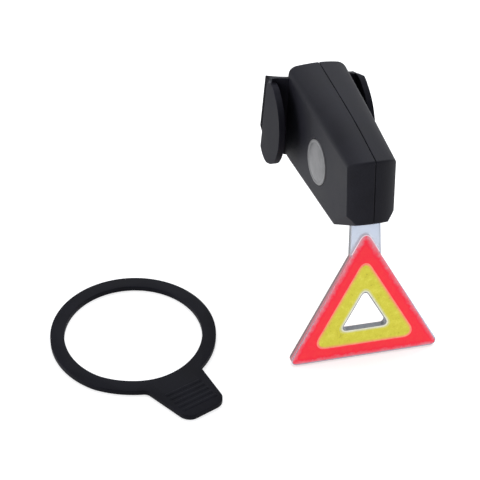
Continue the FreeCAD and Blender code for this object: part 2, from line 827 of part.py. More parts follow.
outer = housing_solid(0)
cavity = housing_solid(wall)
core = housing_solid(wall / 2)
left_shell, right_shell = housing_halves()
seal = seal_solid(0).cut(stem_space(fit, 0, stem_inside))
nodes = {
    "left_shell": left_shell,
    "right_shell": right_shell,
    "seam_gasket": seam_gasket(),
    "light_guide": light_guide(),
    "guide_pin": guide_pin_solid(0),
    "stem_seal": seal,
    "button_cap": button_cap(),
    "switch_plunger": switch_plunger(),
    "switch_body": switch_body(),
    "main_board": main_board(),
    "controller_chip": controller_chip(),
    "chip_resistors": chip_resistors(),
    "led_board": led_board(),
    "leds": leds(),
    "lead_wires": Part.Compound([lead_wire(depth, rise) for depth, rise in wire_runs]),
    "cell_upper": cell(upper_cell_z, -1),
    "cell_lower": cell(lower_cell_z, 1),
    "battery_tray": battery_tray(),
    "front_contact": front_contact(0),
    "rear_contact_upper": rear_contact(upper_cell_z, 0),
    "rear_contact_lower": rear_contact(lower_cell_z, 0),
    "mount_bracket": mount_bracket(),
    "saddle_pad": saddle_pad(),
    "strap": strap(),
}
nodes["red_print"], nodes["yellow_print"] = prints(-print_thickness, 0)
nodes["red_print_back"], nodes["yellow_print_back"] = prints(
    guide_thickness, guide_thickness + print_thickness)
shell_screws = []
for y, z in shell_screw_places:
    shell_screws.append(screw(V(shell_screw_seat(y), y, z), V(-1, 0, 0), shell_screw_length))
nodes["shell_screws"] = Part.Compound(shell_screws)
bracket_screws = []
for x, z, seat in bracket_screw_places:
    bracket_screws.append(screw(V(x, -seat, z), V(0, -1, 0), bracket_screw_length))
nodes["bracket_screws"] = Part.Compound(bracket_screws)
for name, shape in nodes.items():
    save(name, shape)
    print(name, shape.isValid(), len(shape.Solids), round(shape.Volume, 2))
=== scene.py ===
import bpy
import bmesh
import math
from mathutils import Matrix, Vector


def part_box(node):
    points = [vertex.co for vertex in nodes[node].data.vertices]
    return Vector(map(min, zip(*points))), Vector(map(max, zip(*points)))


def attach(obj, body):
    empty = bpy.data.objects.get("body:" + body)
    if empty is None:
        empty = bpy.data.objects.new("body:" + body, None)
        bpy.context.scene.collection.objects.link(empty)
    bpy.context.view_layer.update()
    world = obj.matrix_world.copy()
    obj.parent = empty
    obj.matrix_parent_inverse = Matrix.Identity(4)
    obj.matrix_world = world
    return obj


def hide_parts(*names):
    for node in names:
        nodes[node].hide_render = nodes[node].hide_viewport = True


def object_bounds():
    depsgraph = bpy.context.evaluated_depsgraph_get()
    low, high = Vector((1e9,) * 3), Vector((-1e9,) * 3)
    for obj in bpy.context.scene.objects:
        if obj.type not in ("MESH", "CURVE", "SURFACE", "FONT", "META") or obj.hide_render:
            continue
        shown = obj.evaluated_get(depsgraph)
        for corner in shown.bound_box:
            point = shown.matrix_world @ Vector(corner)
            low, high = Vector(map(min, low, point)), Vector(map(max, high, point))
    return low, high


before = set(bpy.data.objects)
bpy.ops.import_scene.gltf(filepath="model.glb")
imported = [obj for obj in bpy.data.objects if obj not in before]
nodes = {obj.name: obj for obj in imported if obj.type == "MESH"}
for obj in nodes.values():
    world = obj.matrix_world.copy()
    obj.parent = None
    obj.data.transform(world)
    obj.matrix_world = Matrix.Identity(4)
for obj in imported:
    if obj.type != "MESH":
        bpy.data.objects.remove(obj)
cad_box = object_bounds()


# Saddle pad: a curved strip of soft black rubber between the bracket and the seat post.
# It is moulded with level grooves on the face that grips the post, and its back is glued
# into the hollow of the bracket.
mm = 0.001
pad_low, pad_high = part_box("saddle_pad")
pad_top_gap = 1.3 * mm
pad_height = pad_high.z - pad_low.z - pad_top_gap
pad_inner = 15.85 * mm
pad_outer = 17.1 * mm
pad_half_turn = math.radians(57.5)
pad_turn_steps = 48
pad_grooves = 6
groove_margin = 0.15 * mm
groove_depth = 0.45 * mm
pad_edge = 0.08 * mm
pad_grain_depth = 0.05 * mm
surface_slack = 0.1 * mm
quarter_turn = math.radians(90)
pad_dark = (0.004, 0.004, 0.005)
pad_light = (0.012, 0.012, 0.014)


def set_stops(ramp, stops):
    """Positions and colours of a ramp, which starts with two."""
    while len(ramp.elements) < len(stops):
        ramp.elements.new(1)
    for element, (position, colour) in zip(ramp.elements, stops):
        element.position = position
        element.color = (*colour, 1)


class Level:
    """One socket of a finish. Sums on it add Math nodes, and node() adds any other."""

    def __init__(self, tree, socket=None):
        self.tree = tree
        self.socket = socket

    def node(self, kind, settings=None, inputs=None, output=0):
        """Node of a type, from its settings and the values or links of its sockets."""
        made = self.tree.nodes.new("ShaderNode" + kind)
        for name, value in (settings or {}).items():
            if name == "stops":
                set_stops(made.color_ramp, value)
            else:
                setattr(made, name, value)
        for name, value in (inputs or {}).items():
            if isinstance(value, Level):
                self.tree.links.new(value.socket, made.inputs[name])
            else:
                made.inputs[name].default_value = value
        return Level(self.tree, made.outputs[output])

    def maths(self, operation, *values):
        return self.node("Math", {"operation": operation}, dict(enumerate(values)))

    def __add__(self, other):
        return self.maths("ADD", self, other)

    __radd__ = __add__

    def __mul__(self, other):
        return self.maths("MULTIPLY", self, other)

    __rmul__ = __mul__

    def __sub__(self, other):
        return self.maths("SUBTRACT", self, other)

    def __rsub__(self, other):
        return self.maths("SUBTRACT", other, self)

    def least(self, other):
        return self.maths("MINIMUM", self, other)

    def swing(self):
        """How far a noise is from its middle, which is a half."""
        return self - 0.5

    def between(self, low, high):
        """How far a value has come from one level to another, from 0 to 1."""
        levels = {"Value": self, "From Min": low, "From Max": high}
        return self.node("MapRange", {"interpolation_type": "SMOOTHSTEP"}, levels)

    def colours(self, *stops):
        return self.node("ValToRGB", {"stops": stops}, {"Fac": self})

    def mixed(self, first, second):
        """A colour between two others, on Mix's colour sockets; this level is the share of the second."""
        return self.node("Mix", {"data_type": "RGBA"}, {0: self, 6: first, 7: second}, output=2)

    def blended(self, first, second):
        """A shader between two others; this level is the share of the second."""
        return self.node("MixShader", inputs={0: self, 1: first, 2: second})

    def bump(self, strength, distance, **under):
        """Normal of a skin that this level raises."""
        return self.node("Bump", inputs={
            "Strength": strength, "Distance": distance, "Height": self, **under})

    def dot(self, other):
        return self.node("VectorMath", {"operation": "DOT_PRODUCT"}, {0: self, 1: other}, output="Value")

    def axis(self, name):
        """One of the three numbers of a place."""
        return self.node("SeparateXYZ", inputs={"Vector": self}, output=name)

    def place(self):
        """Where a point is on its own piece."""
        return self.node("TexCoord", output="Object")

    def noise(self, scale, detail=2):
        return self.node("TexNoise", inputs={"Vector": self.place(), "Scale": scale, "Detail": detail})


def start_finish(name):
    """New material with an empty tree, and the level that its nodes start from."""
    material = bpy.data.materials.new(name)
    material.use_nodes = True
    material.node_tree.nodes.clear()
    return material, Level(material.node_tree)


def close_finish(surface):
    output = surface.tree.nodes.new("ShaderNodeOutputMaterial")
    surface.tree.links.new(surface.socket, output.inputs["Surface"])


def moulded_skin(start, dark, light, roughness, specular,
                 grain=2600, depth=0.03 * mm, edge=0.4 * mm, metallic=0):
    """Skin of a moulded or pressed part: cloudy tone, fine grain, and rounded edges with a painted
    highlight along them.
    """
    cloud_scale = 90
    cloud_detail = 3
    cloud_share = 0.6
    darkest, lightest = 0.3, 0.7
    highlight_begins, highlight_ends = 0.005, 0.2
    plain_share = 0.6
    highlight_paler = 3
    cloud_rough = 0.14
    grain_rough = 0.1
    worn_smooth = 0.2
    cloud = start.noise(cloud_scale, cloud_detail)
    spark = start.noise(grain)
    round_normal = start.node("Bevel", {"samples": 6}, {"Radius": edge})
    face_normal = start.node("NewGeometry", output="True Normal")
    # Painted highlight: where the rounded normal turns away from the face's, the colour goes paler, up to
    # three times the light tone.
    edge_highlight = (1 - round_normal.dot(face_normal)).between(highlight_begins, highlight_ends)
    plain = (cloud * cloud_share + spark * (1 - cloud_share)).between(darkest, lightest)
    tone = plain * plain_share + edge_highlight * (1 - plain_share)
    highlight_colour = tuple(highlight_paler * part for part in light)
    colour = tone.colours((0, dark), (plain_share, light), (1, highlight_colour))
    rough = roughness + cloud.swing() * cloud_rough + spark.swing() * grain_rough - edge_highlight * worn_smooth
    return start.node("BsdfPrincipled", inputs={
        "Base Color": colour, "Roughness": rough, "Specular IOR Level": specular, "Metallic": metallic,
        "Normal": spark.bump(strength=0.4, distance=depth, Normal=round_normal)})


def moulded(name, dark, light, roughness, specular, **details):
    material, start = start_finish(name)
    close_finish(moulded_skin(start, dark, light, roughness, specular, **details))
    return material


def dress(piece, material):
    piece.data.materials.clear()
    piece.data.materials.append(material)


def make_piece(name, shape, material, slot, body, *stands_for):
    """Object from a finished bmesh, which rides on a body and stands for CAD nodes."""
    sharp_turn = math.radians(35)
    mesh = bpy.data.meshes.new(name)
    shape.to_mesh(mesh)
    shape.free()
    mesh.shade_smooth()
    mesh.set_sharp_from_angle(angle=sharp_turn)
    piece = bpy.data.objects.new(name, mesh)
    bpy.context.scene.collection.objects.link(piece)
    dress(piece, material)
    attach(piece, body)
    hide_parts(*stands_for)


def whole(shape):
    """Every part of a bmesh, for an operator that asks for geometry."""
    return shape.verts[:] + shape.edges[:] + shape.faces[:]


def sharp_edges(shape, turn):
    """Edges where two faces meet at more than an angle in degrees."""
    return [edge for edge in shape.edges if len(edge.link_faces) == 2
            and edge.calc_face_angle() > math.radians(turn)]


def soften(shape, edges, width, segments=2):
    bmesh.ops.bevel(shape, geom=edges, offset=width, affect="EDGES", segments=segments, profile=0.5,
                    material=-1, clamp_overlap=True)


pad = bmesh.new()
bmesh.ops.create_grid(pad, x_segments=1, y_segments=1, size=0.5)
pad_section = (Matrix.Translation(((pad_inner + pad_outer) / 2, 0, pad_low.z + pad_height / 2))
               @ Matrix.Rotation(quarter_turn, 4, "X")
               @ Matrix.Diagonal((pad_outer - pad_inner, pad_height, 1, 1)))
bmesh.ops.transform(pad, matrix=pad_section, verts=pad.verts)
pad_start = Matrix.Rotation(-quarter_turn - pad_half_turn, 4, "Z")
bmesh.ops.transform(pad, matrix=pad_start, verts=pad.verts)
bmesh.ops.spin(pad, geom=whole(pad), cent=(0, 0, 0), axis=(0, 0, 1), dvec=(0, 0, 0),
               angle=2 * pad_half_turn, steps=pad_turn_steps, use_merge=False, use_duplicate=False)
bmesh.ops.recalc_face_normals(pad, faces=pad.faces)
pad_pitch = pad_height / (2 * pad_grooves + 1)
for step in range(1, 2 * pad_grooves + 1):
    level = (0, 0, pad_low.z + step * pad_pitch)
    bmesh.ops.bisect_plane(pad, geom=whole(pad), plane_co=level, plane_no=(0, 0, 1))
for step in range(pad_grooves):
    middle = pad_low.z + (2 * step + 1.5) * pad_pitch
    strip = [face for face in pad.faces
             if abs(face.calc_center_median().z - middle) < pad_pitch / 2
             and abs(face.calc_center_median().xy.length - pad_inner) < surface_slack]
    bmesh.ops.inset_region(pad, faces=strip, thickness=groove_margin, depth=-groove_depth,
                           use_boundary=True)
soften(pad, sharp_edges(pad, turn=50), pad_edge)
pad_rubber = moulded("pad_rubber", pad_dark, pad_light, roughness=0.6, specular=0.15,
                     depth=pad_grain_depth)
make_piece("post_pad", pad, pad_rubber, "pad_rubber", "housing", "saddle_pad")


# Bracket: the curved web behind the housing, with a wing and a hook ear on each side for the strap.
# It is moulded in one piece of matt black plastic, spark-eroded on the ears and plainer on the wings,
# and screwed to the housing. The wings are painted darker with the shade that falls behind the ears,
# and the top of the right wing falls towards its outer end.
ear_root = -12.1 * mm
ear_dark = (0.0050, 0.0050, 0.0078)
ear_light = (0.0092, 0.0092, 0.0136)
shaded_wing_dark = (0.0030, 0.0030, 0.0045)
shaded_wing_light = (0.0056, 0.0056, 0.0082)
wing_root = Vector((9.5, -7.6, 12.3)) * mm
wing_rise = Vector((0, -9.45, 4.3))
wing_drop = Vector((6.18, 0, -2.2))
cad_doubles = 0.002 * mm
cad_flatness = math.radians(1)
cut_slack = 0.001 * mm


def cad_copy(node):
    """Merged copy of a CAD node's mesh, with the triangles of each flat face joined."""
    shape = bmesh.new()
    shape.from_mesh(nodes[node].data)
    bmesh.ops.remove_doubles(shape, verts=shape.verts, dist=cad_doubles)
    bmesh.ops.dissolve_limit(shape, angle_limit=cad_flatness, verts=shape.verts, edges=shape.edges)
    return shape


def bracket_finish():
    """Spark-eroded skin on the ears, and a plainer one on the wings behind them, painted darker with
    their shade.
    """
    edge = 0.5 * mm
    fade = 0.05 * mm
    material, start = start_finish("bracket_plastic")
    ear = moulded_skin(start, ear_dark, ear_light, roughness=0.62, specular=0.06, edge=edge)
    wing = moulded_skin(start, shaded_wing_dark, shaded_wing_light, roughness=0.7, specular=0.02, edge=edge)
    # Painted shade: the wings behind the ears' root get the darker colours.
    wing_shade_share = start.place().axis("Y").between(ear_root - fade, ear_root + fade)
    close_finish(wing_shade_share.blended(ear, wing))
    return material


# The first cut parts the wing from the web, and the second goes through both of its slopes.
bracket = cad_copy("mount_bracket")
bmesh.ops.bisect_plane(bracket, geom=whole(bracket), plane_co=wing_root, plane_no=(1, 0, 0))
right_wing = [part for part in whole(bracket)
              if min(vert.co.x for vert in getattr(part, "verts", [part])) > wing_root.x - cut_slack]
bmesh.ops.bisect_plane(bracket, geom=right_wing, plane_co=wing_root, clear_outer=True,
                       plane_no=wing_rise.cross(wing_drop))
bmesh.ops.holes_fill(bracket, edges=[edge for edge in bracket.edges if edge.is_boundary])
make_piece("ear_bracket", bracket, bracket_finish(), "bracket_plastic", "housing", "mount_bracket")


# Bracket screws: four small plated steel screws with a pan head and a cross recess.
# They are driven from the post side, through the web and into the housing.
screw_dark = (0.33, 0.33, 0.34)
screw_light = (0.55, 0.55, 0.56)
screw_steel = moulded("screw_steel", screw_dark, screw_light, roughness=0.33, specular=0.5,
                      grain=5000, depth=0.01 * mm, edge=0.12 * mm, metallic=1)
bracket_screw_length = 8 * mm
bracket_seats = ((-8.1, -17.0, 13.9), (8.1, -17.0, 13.9), (-5.0, -17.4, -11.3), (5.0, -17.4, -11.3))


def screw_shape(length):
    """One screw, with its seat at the origin and its head on the +Z side."""
    head_radius = 1.7 * mm
    head_height = 1.1 * mm
    head_round = 0.35 * mm
    arm_half = 0.24 * mm
    arm_reach = 0.95 * mm
    recess_slope = 0.05 * mm
    recess_depth = 0.55 * mm
    almost_top = 0.99 * head_height
    shank_radius = mm
    tip_radius = 0.45 * mm
    one = bmesh.new()
    bmesh.ops.create_cone(one, cap_ends=True, segments=32, radius1=head_radius, radius2=head_radius,
                          depth=head_height, matrix=Matrix.Translation((0, 0, head_height / 2)))
    rim = [edge for edge in one.edges if min(vert.co.z for vert in edge.verts) > head_height / 2]
    soften(one, rim, head_round, segments=3)
    for reach in (arm_half, arm_reach):
        for direction in ((1, 0, 0), (-1, 0, 0), (0, 1, 0), (0, -1, 0)):
            bmesh.ops.bisect_plane(one, geom=whole(one), plane_co=Vector(direction) * reach,
                                   plane_no=direction)
    cross = []
    for face in one.faces:
        middle = face.calc_center_median()
        near, far = sorted((abs(middle.x), abs(middle.y)))
        if middle.z > almost_top and near < arm_half and far < arm_reach:
            cross.append(face)
    bmesh.ops.inset_region(one, faces=cross, thickness=recess_slope, depth=-recess_depth,
                           use_boundary=True)
    bmesh.ops.create_cone(one, cap_ends=True, segments=24, radius1=tip_radius, radius2=shank_radius,
                          depth=length, matrix=Matrix.Translation((0, 0, -length / 2)))
    return one


def screw_set(name, node, length, seats, turn):
    """Like screws on their seats, which are in millimetres, all turned the same way."""
    pattern = bpy.data.meshes.new(name)
    one = screw_shape(length)
    one.to_mesh(pattern)
    one.free()
    screws = bmesh.new()
    for seat in seats:
        count = len(screws.verts)
        screws.from_mesh(pattern)
        place = Matrix.Translation(Vector(seat) * mm) @ turn
        bmesh.ops.transform(screws, matrix=place, verts=screws.verts[count:])
    bpy.data.meshes.remove(pattern)
    make_piece(name, screws, screw_steel, "screw_steel", "housing", node)


head_to_post = Matrix.Rotation(-quarter_turn, 4, "X")
screw_set("bracket_screw_set", "bracket_screws", bracket_screw_length, bracket_seats, head_to_post)


# Cells: two dry cells with a printed jacket and bare steel ends, in a tray of grey plastic.
# Contact plates at their ends join them, and strips lead from the rear plates along the left
# side to the main board.
cell_near, cell_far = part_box("cell_upper")
cell_steel = (0.55, 0.55, 0.56)
jacket_dark = (0.02, 0.10, 0.16)
jacket_light = (0.02, 0.12, 0.19)
jacket_line = (0.62, 0.62, 0.60)
jacket_cap = (0.09, 0.09, 0.10)
tray_dark = (0.05, 0.05, 0.055)
tray_light = (0.10, 0.10, 0.105)
contact_dark = (0.50, 0.47, 0.40)
contact_light = (0.72, 0.69, 0.62)


def cell_finish():
    """Bands round a cell, from its front end to its rear end."""
    speck_scale = 3000
    band_blur = 0.02
    plain_rough = 0.3
    speck_rough = 0.1
    material, start = start_finish("cell_jacket")
    share = start.place().axis("Y").between(cell_near.y, cell_far.y)
    speck = start.noise(speck_scale)
    jacket = (share + speck.swing() * band_blur).colours(
        (0.0, cell_steel), (0.03, jacket_dark), (0.62, jacket_light),
        (0.66, jacket_line), (0.70, jacket_cap), (0.97, cell_steel))
    close_finish(start.node("BsdfPrincipled", inputs={
        "Base Color": jacket, "Roughness": plain_rough + speck * speck_rough,
        "Normal": speck.bump(strength=0.3, distance=0.02 * mm)}))
    return material


jacket = cell_finish()
dress(nodes["cell_upper"], jacket)
dress(nodes["cell_lower"], jacket)
tray_plastic = moulded("tray_plastic", tray_dark, tray_light, roughness=0.5, specular=0.4)
dress(nodes["battery_tray"], tray_plastic)
contact_metal = moulded("contact_metal", contact_dark, contact_light, roughness=0.3, specular=0.5,
                        grain=4000, depth=0.01 * mm, edge=0.1 * mm, metallic=1)
for name in ("front_contact", "rear_contact_upper", "rear_contact_lower"):
    dress(nodes[name], contact_metal)


# Boards: a main board on the left with its controller, resistors and push switch, and a narrow
# board that holds three light-emitting diodes over the top of the guide's stem. Both are glass
# laminate with green lacquer, the parts are soldered on, and two wires join the boards.
lacquer_dark = (0.004, 0.06, 0.02)
lacquer_light = (0.02, 0.18, 0.07)
chip_dark = (0.010, 0.010, 0.011)
chip_light = (0.035, 0.035, 0.037)
switch_dark = (0.02, 0.02, 0.02)
switch_light = (0.06, 0.06, 0.06)
plunger_dark = (0.16, 0.16, 0.17)
plunger_light = (0.24, 0.24, 0.25)
resin_dark = (0.75, 0.70, 0.35)
resin_light = (0.92, 0.90, 0.70)
wire_dark = (0.35, 0.02, 0.02)
wire_light = (0.60, 0.05, 0.04)
small_edge = 0.1 * mm


def board_finish():
    """Green lacquer over a net of tracks and a fine weave."""
    track_scale = 420
    weave_scale = 1500
    track_share = 0.7
    plain_rough = 0.28
    weave_rough = 0.15
    material, start = start_finish("board_laminate")
    upright = start.node("Mapping", inputs={
        "Vector": start.place(), "Rotation": (0, quarter_turn, 0)})
    tracks = start.node("TexBrick", {"offset": 0.5}, {
        "Vector": upright, "Scale": track_scale, "Mortar Size": 0.06, "Mortar Smooth": 0.3}, output="Fac")
    weave = start.noise(weave_scale)
    tone = tracks * track_share + weave * (1 - track_share)
    lacquer = tone.colours((0.1, lacquer_dark), (0.8, lacquer_light))
    close_finish(start.node("BsdfPrincipled", inputs={
        "Base Color": lacquer, "Roughness": plain_rough + weave * weave_rough,
        "Normal": tracks.bump(strength=0.5, distance=0.03 * mm)}))
    return material


laminate = board_finish()
dress(nodes["main_board"], laminate)
dress(nodes["led_board"], laminate)
chip_black = moulded("chip_black", chip_dark, chip_light, roughness=0.5, specular=0.4, edge=small_edge)
dress(nodes["controller_chip"], chip_black)
dress(nodes["chip_resistors"], chip_black)
switch_black = moulded("switch_body", switch_dark, switch_light, roughness=0.4, specular=0.4)
dress(nodes["switch_body"], switch_black)
plunger_grey = moulded("plunger_grey", plunger_dark, plunger_light, roughness=0.45, specular=0.4)
dress(nodes["switch_plunger"], plunger_grey)
led_resin = moulded("led_resin", resin_dark, resin_light, roughness=0.25, specular=0.5, edge=small_edge)
dress(nodes["leds"], led_resin)
wire_jacket = moulded("wire_jacket", wire_dark, wire_light, roughness=0.4, specular=0.5)
dress(nodes["lead_wires"], wire_jacket)


# Light guide: a clear acrylic triangle with a round-cornered hole, on a stem that goes up into
# the chin. A steel pin and a rubber seal hold it there, and the diodes light it from the stem's
# end. Its side is painted with the red print's reflection inside the plate and with shade, and the
# wall of the hole and a thin strip of face round it are painted grey as shade.
guide_lean = math.radians(-13.5)
guide_entry = Vector((0, -74.41, -1.654)) * mm
guide_side = 52 * mm
guide_foot = -47.986 * mm
guide_thickness = 2.3 * mm
acrylic_index = 1.49
clear_stops = ((0.35, (0.68, 0.77, 0.93)), (0.65, (0.75, 0.83, 0.97)))
hole_wall_shade_stops = ((0.35, (0.17, 0.19, 0.235)), (0.65, (0.31, 0.335, 0.39)))
stem_side_shade_stops = ((0.1, (0.30, 0.33, 0.38)), (0.5, (0.08, 0.10, 0.12)), (0.9, (0.01, 0.02, 0.03)))
plate_side_reflection_and_shade_stops = ((0.1, (0.56, 0.10, 0.13)), (0.3, (0.50, 0.14, 0.17)), (0.5, (0.24, 0.12, 0.14)),
               (0.9, (0.09, 0.045, 0.055)))
seal_dark = (0.006, 0.006, 0.007)
seal_light = (0.014, 0.014, 0.016)


def plate_place(start):
    """Where a point is on the plate, in millimetres: X across it, Y through it and Z up it."""
    return start.node("Mapping", {"vector_type": "TEXTURE"}, {
        "Vector": start.place(), "Location": tuple(guide_entry),
        "Rotation": (guide_lean, 0, 0), "Scale": (mm, mm, mm)})


def plate_inset(place):
    """How far a place on the plate lies inside its triangle, in millimetres."""
    corner_turn = math.radians(60)
    side_height = guide_side / mm * math.sin(corner_turn)
    over_foot = place.axis("Z") - guide_foot / mm
    aside = place.axis("X") * math.sin(corner_turn)
    leaning = (side_height - over_foot) * math.cos(corner_turn)
    return over_foot.least(leaning - aside).least(leaning + aside)


def acrylic_finish():
    """Clear and faintly blue through its faces, with painted reflection and shade where it is looked at
    edge on, and painted grey shade on the hole's wall and a thin strip round it.
    """
    haze_scale = 70
    scratch_scale = 1800
    scratch_detail = 4
    haze_share = 0.5
    flat_begins, flat_ends = 0.3, 0.7
    hole_rim = 10.1
    hole_fade = 0.05
    stem_ends, plate_begins = -0.6, -0.3
    plate_ends, hole_begins = 3, 4
    painted_band_uneven = 0.25
    face_rough = 0.06
    face_scratch = 0.04
    side_rough = 0.2
    side_scratch = 0.1
    material, start = start_finish("clear_acrylic")
    haze = start.noise(haze_scale)
    scratch = start.noise(scratch_scale, scratch_detail)
    place = plate_place(start)
    inset = plate_inset(place)
    through = Matrix.Rotation(guide_lean, 3, "X") @ Vector((0, 1, 0))
    facing = start.node("NewGeometry", output="Normal").dot(tuple(through))
    # Painted shade: the face within a thin strip of the hole gets the grey of the hole's wall.
    at_hole = inset.between(hole_rim, hole_rim + hole_fade)
    flat = (facing * facing).between(flat_begins, flat_ends) * (1 - at_hole)
    clear = haze.colours(*clear_stops)
    painted_hole_wall_shade = (haze * haze_share + scratch * (1 - haze_share)).colours(*hole_wall_shade_stops)
    # Painted reflection and shade across the side: pink from the red print near the front, dark towards
    # the back.
    depth = place.axis("Y") * (mm / guide_thickness) + scratch.swing() * painted_band_uneven
    at_plate = inset.between(stem_ends, plate_begins)
    painted_outer_side = at_plate.mixed(depth.colours(*stem_side_shade_stops), depth.colours(*plate_side_reflection_and_shade_stops))
    side = inset.between(plate_ends, hole_begins).mixed(painted_outer_side, painted_hole_wall_shade)
    normal = scratch.bump(strength=0.15, distance=0.01 * mm)
    face = start.node("BsdfPrincipled", inputs={
        "Base Color": clear, "Roughness": face_rough + scratch * face_scratch, "Normal": normal,
        "Transmission Weight": 0.5, "IOR": acrylic_index})
    edge = start.node("BsdfPrincipled", inputs={
        "Base Color": side, "Roughness": side_rough + scratch * side_scratch, "Normal": normal,
        "Transmission Weight": 0.25, "IOR": acrylic_index})
    close_finish(flat.blended(edge, face))
    return material


dress(nodes["light_guide"], acrylic_finish())
dress(nodes["guide_pin"], screw_steel)
seal_rubber = moulded("seal_rubber", seal_dark, seal_light, roughness=0.6, specular=0.15)
dress(nodes["stem_seal"], seal_rubber)


# Print on both faces of the guide: a lime-yellow triangle, and a red border that laps over its
# edge in a thin salmon line, and a pale line goes over the tip. These are screen inks. A pale
# painted highlight fades into the yellow round the hole. All are given a little painted glow in their own
# colour.
ink_thickness = 0.1 * mm
# Painted glow of the prints, as emission, though no lamp lights them.
ink_painted_glow = 0.2
yellow_painted_glow = 0.18
red_stops = ((0.0, (0.66, 0.24, 0.29)), (0.3, (0.76, 0.09, 0.13)), (0.55, (0.83, 0.014, 0.042)),
             (0.9, (0.86, 0.040, 0.046)))
tone_stops = (0.33, 0.41, 0.54, 0.66)
salmon_tones = ((0.80, 0.14, 0.12), (0.84, 0.20, 0.15), (0.88, 0.24, 0.16), (0.90, 0.30, 0.18))
yellow_tones = ((0.44, 0.40, 0.035), (0.57, 0.525, 0.042), (0.60, 0.56, 0.05), (0.66, 0.62, 0.075))
# Tones of the painted highlight round the hole, from where it fades into the yellow to the pale line.
hole_highlight_fade_tones = ((0.52, 0.50, 0.13), (0.57, 0.55, 0.16), (0.61, 0.59, 0.19), (0.65, 0.63, 0.22))
hole_highlight_tones = ((0.56, 0.56, 0.42), (0.62, 0.62, 0.48), (0.67, 0.67, 0.54), (0.72, 0.72, 0.60))
tip_tones = ((0.66, 0.50, 0.56), (0.72, 0.56, 0.62), (0.78, 0.62, 0.68), (0.82, 0.68, 0.72))
red_outside = {"inset": 0.45 * mm, "corner": 1.35 * mm, "tip": 2.0 * mm, "raised": 1.1 * mm}
lap_outside = {"inset": 4.55 * mm, "corner": 2.9 * mm, "tip": 2.4 * mm}
yellow_outside = {"inset": 4.95 * mm, "corner": 2.8 * mm, "tip": 2.3 * mm}
fade_outside = {"inset": 9.2 * mm, "corner": 2.2 * mm, "tip": 2.2 * mm}
pale_outside = {"inset": 9.65 * mm, "corner": 1.95 * mm, "tip": 1.95 * mm}
pale_inside = {"inset": 10.12 * mm, "corner": 1.5 * mm, "tip": 1.5 * mm}
tip_outside = {"inset": 0.1 * mm, "corner": 1.5 * mm, "tip": 2.35 * mm, "raised": 1.1 * mm}
tip_foot = -10.6 * mm


def ink_grain(start, mottle_scale=450):
    """Cloudy mottle of an ink, and its fine speck."""
    mottle_detail = 4
    speck_scale = 2000
    return start.noise(mottle_scale, mottle_detail), start.noise(speck_scale)


def ink_colour(mottle, speck, tones):
    """Colour of an ink or of the painted highlight in four tones, from its darkest to its lightest."""
    mottle_share = 0.55
    return (mottle * mottle_share + speck * (1 - mottle_share)).colours(*zip(tone_stops, tones))


def ink_skin(ink, speck, glow):
    """Satin skin of an ink or of the painted highlight, with a painted glow in its own colour."""
    plain_rough = 0.38
    speck_rough = 0.1
    return speck.node("BsdfPrincipled", inputs={
        "Base Color": ink, "Roughness": plain_rough + speck * speck_rough, "Specular IOR Level": 0.2,
        "Normal": speck.bump(strength=0.2, distance=0.02 * mm),
        "Emission Color": ink, "Emission Strength": glow})


def ink_and_highlight_finish(name, tones):
    material, start = start_finish(name)
    mottle, speck = ink_grain(start)
    close_finish(ink_skin(ink_colour(mottle, speck, tones), speck, ink_painted_glow))
    return material


def yellow_finish():
    """Lime-yellow ink, warmer towards the red."""
    warm = (0.86, 0.24, 0.14, 1)
    warm_share = 0.45
    warm_begins, warm_ends = 4.9, 6.0
    uneven = 0.5
    material, start = start_finish("yellow_ink")
    mottle, speck = ink_grain(start)
    inset = plate_inset(plate_place(start)) + mottle.swing() * uneven
    share = (1 - inset.between(warm_begins, warm_ends)) * warm_share
    ink = share.mixed(ink_colour(mottle, speck, yellow_tones), warm)
    close_finish(ink_skin(ink, speck, yellow_painted_glow))
    return material


def red_finish():
    """Red ink, thinner and pinker along the plate's edges."""
    pink_begins, pink_ends = -0.5, 2.7
    uneven = 1.1
    inset_share = 0.7
    speck_share = 0.3
    mottle_share = 0.35
    material, start = start_finish("red_ink")
    mottle, speck = ink_grain(start, mottle_scale=650)
    inset = plate_inset(plate_place(start)) + mottle.swing() * uneven
    tone = (inset.between(pink_begins, pink_ends) * inset_share
            + speck.swing() * speck_share + mottle.swing() * mottle_share)
    close_finish(ink_skin(tone.colours(*red_stops), speck, ink_painted_glow))
    return material


def triangle_loop(shape, inset, corner, tip, raised=0):
    """Edges of a triangle with round corners, a distance inside the plate's; its tip may be raised."""
    round_steps = 10
    centre = guide_foot + guide_side / math.sqrt(12)
    upright = Matrix.Translation((0, 0, centre)) @ Matrix.Rotation(quarter_turn, 4, "X")
    verts = bmesh.ops.create_circle(shape, cap_ends=True, segments=3, matrix=upright,
                                    radius=guide_side / math.sqrt(3) - 2 * inset)["verts"]
    top = max(verts, key=lambda vert: vert.co.z)
    top.co.z += raised
    feet = [vert for vert in verts if vert is not top]
    run = math.tan(math.radians(60))
    bmesh.ops.bevel(shape, geom=feet, offset=corner * run, affect="VERTICES", segments=round_steps,
                    profile=0.5, material=-1)
    rounded = bmesh.ops.bevel(shape, geom=[top], offset=tip * run, affect="VERTICES",
                              segments=round_steps, profile=0.5, material=-1)
    face = rounded["verts"][0].link_faces[0]
    loop = face.edges[:]
    bmesh.ops.delete(shape, geom=[face], context="FACES_ONLY")
    return loop


